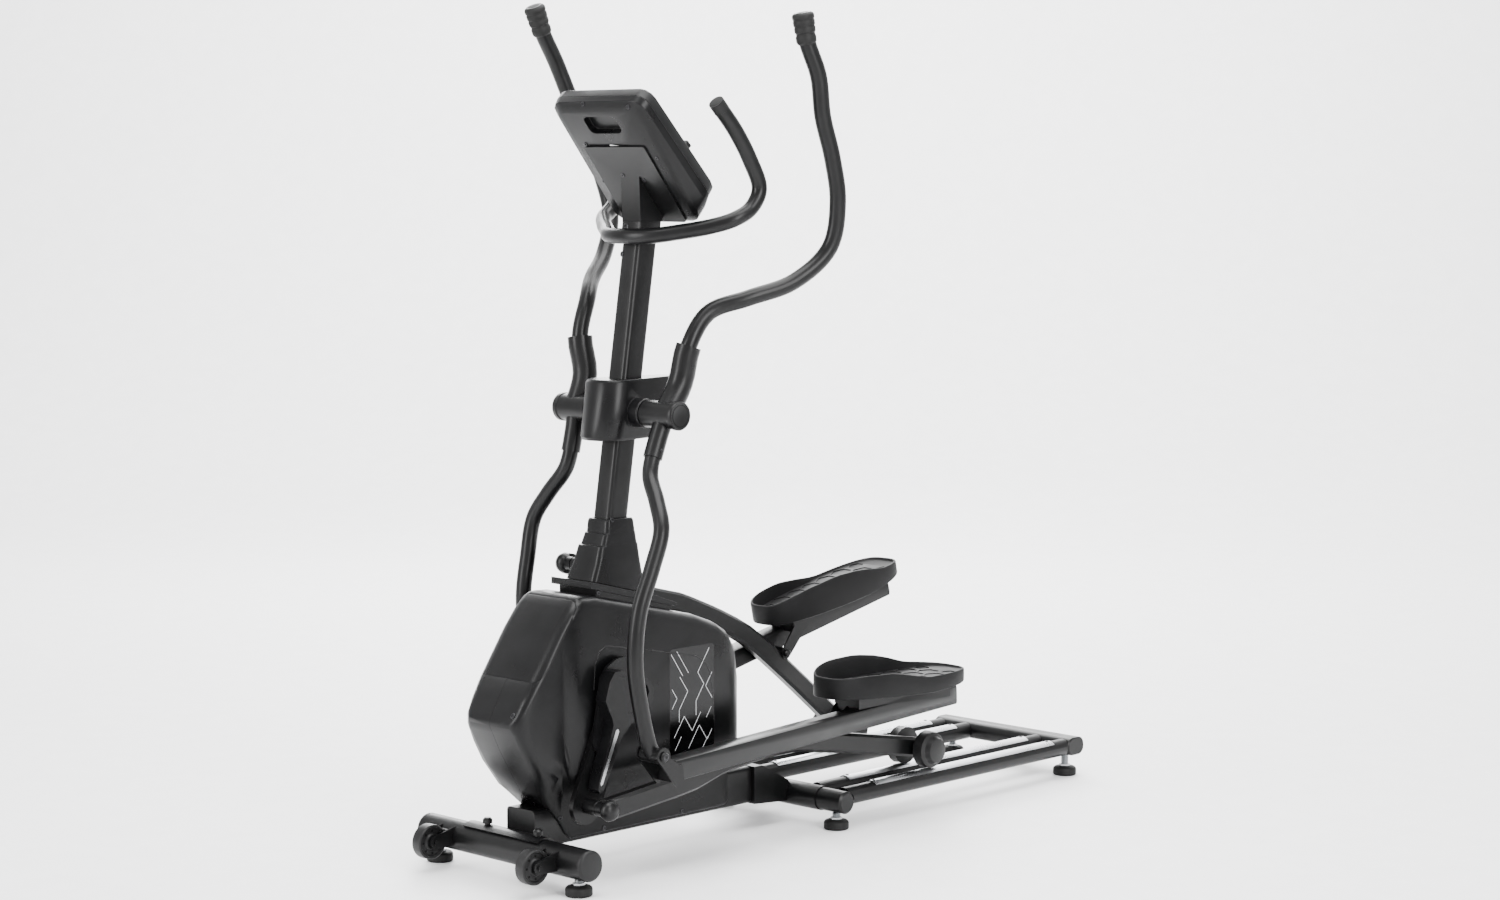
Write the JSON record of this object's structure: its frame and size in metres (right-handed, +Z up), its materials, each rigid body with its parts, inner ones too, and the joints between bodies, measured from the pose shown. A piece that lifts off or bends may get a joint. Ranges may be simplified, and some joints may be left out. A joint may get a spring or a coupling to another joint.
{
  "type": "elliptical trainer",
  "caption": "Front-drive elliptical trainer with swinging handlebars, crank-driven links and pedal arms on rail rollers, fixed grips and a console.",
  "frame": {"origin": "middle of the footprint box on the floor, under the feet", "axes": "+X rearwards (away from the flywheel housing), +Y to the rider's right, +Z up"},
  "size_m": [1.6775, 0.6296, 1.6892],
  "materials": {
    "powder_coat": "satin",
    "housing_plastic": "gloss",
    "trim_plastic": "matte",
    "grip_rubber": "matte",
    "pedal_plastic": "matte",
    "wheel_plastic": "matte",
    "rail_aluminium": "satin",
    "zinc_steel": "brushed",
    "cast_flywheel": "satin",
    "display_glass": "gloss"
  },
  "bodies": {
    "frame": {"console_back": "housing_plastic", "console_bracket": "powder_coat", "console_display": "display_glass", "console_front": "trim_plastic", "drive_belt": "grip_rubber", "fixed_handlebar": "powder_coat", "foot_front_left": "grip_rubber", "foot_front_right": "grip_rubber", "foot_mid_left": "grip_rubber", "foot_mid_right": "grip_rubber", "foot_rear_left": "grip_rubber", "foot_rear_right": "grip_rubber", "front_stabilizer": "powder_coat", "housing_front_cover": "housing_plastic", "housing_left": "housing_plastic", "housing_right": "housing_plastic", "inner_frame": "powder_coat", "main_beam": "powder_coat", "mast": "powder_coat", "mast_collar": "housing_plastic", "mast_cover": "housing_plastic", "mid_crossbar": "powder_coat", "pivot_axle": "zinc_steel", "pivot_shroud": "housing_plastic", "rail_left_inner": "powder_coat", "rail_left_outer": "powder_coat", "rail_right_inner": "powder_coat", "rail_right_outer": "powder_coat", "rail_strip_left_inner": "rail_aluminium", "rail_strip_left_outer": "rail_aluminium", "rail_strip_right_inner": "rail_aluminium", "rail_strip_right_outer": "rail_aluminium", "rear_crossbar": "powder_coat", "saddle_plate": "powder_coat", "stabilizer_cap_left": "trim_plastic", "stabilizer_cap_right": "trim_plastic"},
    "crank": {"crank_axle_pulley": "zinc_steel", "crank_left": "powder_coat", "crank_right": "powder_coat", "crank_cover_left": "housing_plastic", "crank_cover_right": "housing_plastic"},
    "flywheel_body": {"flywheel": "cast_flywheel"},
    "swing_left_body": {"swing_left": "powder_coat", "handle_left": "powder_coat"},
    "swing_right_body": {"swing_right": "powder_coat", "handle_right": "powder_coat"},
    "arm_left": {"pedal_arm_left": "powder_coat", "pedal_left": "pedal_plastic"},
    "arm_right": {"pedal_arm_right": "powder_coat", "pedal_right": "pedal_plastic"},
    "carriage_left": {"roller_axle_left": "zinc_steel"},
    "carriage_right": {"roller_axle_right": "zinc_steel"},
    "link_left_body": {"link_left": "powder_coat"},
    "link_right_body": {"link_right": "powder_coat"},
    "roller_left": {"roller_set_left": "wheel_plastic"},
    "roller_right": {"roller_set_right": "wheel_plastic"},
    "wheel_left": {"transport_wheel_left": "wheel_plastic"},
    "wheel_right": {"transport_wheel_right": "wheel_plastic"},
    "button_left": {"console_button_left": "grip_rubber"},
    "button_right": {"console_button_right": "grip_rubber"}
  },
  "joints": [
    {"name": "crank_turn", "type": "hinge", "parent": "frame", "child": "crank", "pos_m": [-0.52675, 0, 0.3506], "axis": [0, -1, 0], "range_deg": [0, 60]},
    {"name": "flywheel_spin", "type": "hinge", "parent": "frame", "child": "flywheel_body", "pos_m": [-0.66875, 0, 0.325], "axis": [0, -1, 0], "range_deg": [-1, 346]},
    {"name": "swing_left_turn", "type": "hinge", "parent": "frame", "child": "swing_left_body", "pos_m": [-0.43375, -0.12, 0.881], "axis": [0, -1, 0], "range_deg": [0, 20.7]},
    {"name": "swing_right_turn", "type": "hinge", "parent": "frame", "child": "swing_right_body", "pos_m": [-0.43375, 0.12, 0.881], "axis": [0, -1, 0], "range_deg": [-20.5, 0]},
    {"name": "arm_left_turn", "type": "hinge", "parent": "swing_left_body", "child": "arm_left", "pos_m": [-0.54782, -0.209, 0.24109], "axis": [0, -1, 0], "range_deg": [-20, 0]},
    {"name": "arm_right_turn", "type": "hinge", "parent": "swing_right_body", "child": "arm_right", "pos_m": [-0.40821, 0.209, 0.2315], "axis": [0, -1, 0], "range_deg": [0, 16.7]},
    {"name": "carriage_left_slide", "type": "slide", "parent": "frame", "child": "carriage_left", "axis": [1, 0, 0], "range_m": [0, 0.232]},
    {"name": "carriage_right_slide", "type": "slide", "parent": "frame", "child": "carriage_right", "axis": [1, 0, 0], "range_m": [-0.218, 0]},
    {"name": "link_left_turn", "type": "hinge", "parent": "carriage_left", "child": "link_left_body", "pos_m": [0.29422, -0.141, 0.1275], "axis": [0, -1, 0], "range_deg": [-1.9, 0]},
    {"name": "link_right_turn", "type": "hinge", "parent": "carriage_right", "child": "link_right_body", "pos_m": [0.3647, 0.141, 0.1275], "axis": [0, -1, 0], "range_deg": [0, 2.1]},
    {"name": "roller_left_turn", "type": "hinge", "parent": "carriage_left", "child": "roller_left", "pos_m": [0.29422, -0.165, 0.1275], "axis": [0, -1, 0], "range_deg": [-342, 0]},
    {"name": "roller_right_turn", "type": "hinge", "parent": "carriage_right", "child": "roller_right", "pos_m": [0.3647, 0.165, 0.1275], "axis": [0, -1, 0], "range_deg": [0, 321]},
    {"name": "wheel_left_turn", "type": "hinge", "parent": "frame", "child": "wheel_left", "pos_m": [-0.80475, -0.15, 0.058], "axis": [0, -1, 0], "continuous": true},
    {"name": "wheel_right_turn", "type": "hinge", "parent": "frame", "child": "wheel_right", "pos_m": [-0.80475, 0.15, 0.058], "axis": [0, -1, 0], "continuous": true},
    {"name": "button_left_press", "type": "slide", "parent": "frame", "child": "button_left", "axis": [-0.7291, 0, -0.6844], "range_m": [0, 0.002], "stiffness_N_per_m": 400},
    {"name": "button_right_press", "type": "slide", "parent": "frame", "child": "button_right", "axis": [-0.7291, 0, -0.6844], "range_m": [0, 0.002], "stiffness_N_per_m": 400}
  ],
  "couplings": [
    {"joint": "flywheel_spin", "follows": "crank_turn", "ratio": 5.75},
    {"joint": "swing_left_turn", "follows": "crank_turn", "ratio": 0.34378},
    {"joint": "arm_left_turn", "follows": "crank_turn", "ratio": -0.33148},
    {"joint": "link_left_turn", "follows": "crank_turn", "ratio": -0.029732},
    {"joint": "carriage_left_slide", "follows": "crank_turn", "m_per_rad": 0.22046},
    {"joint": "roller_left_turn", "follows": "crank_turn", "ratio": -5.6819},
    {"joint": "swing_right_turn", "follows": "crank_turn", "ratio": -0.33919},
    {"joint": "arm_right_turn", "follows": "crank_turn", "ratio": 0.27515},
    {"joint": "link_right_turn", "follows": "crank_turn", "ratio": 0.033564},
    {"joint": "carriage_right_slide", "follows": "crank_turn", "m_per_rad": -0.20691},
    {"joint": "roller_right_turn", "follows": "crank_turn", "ratio": 5.3327}
  ]
}
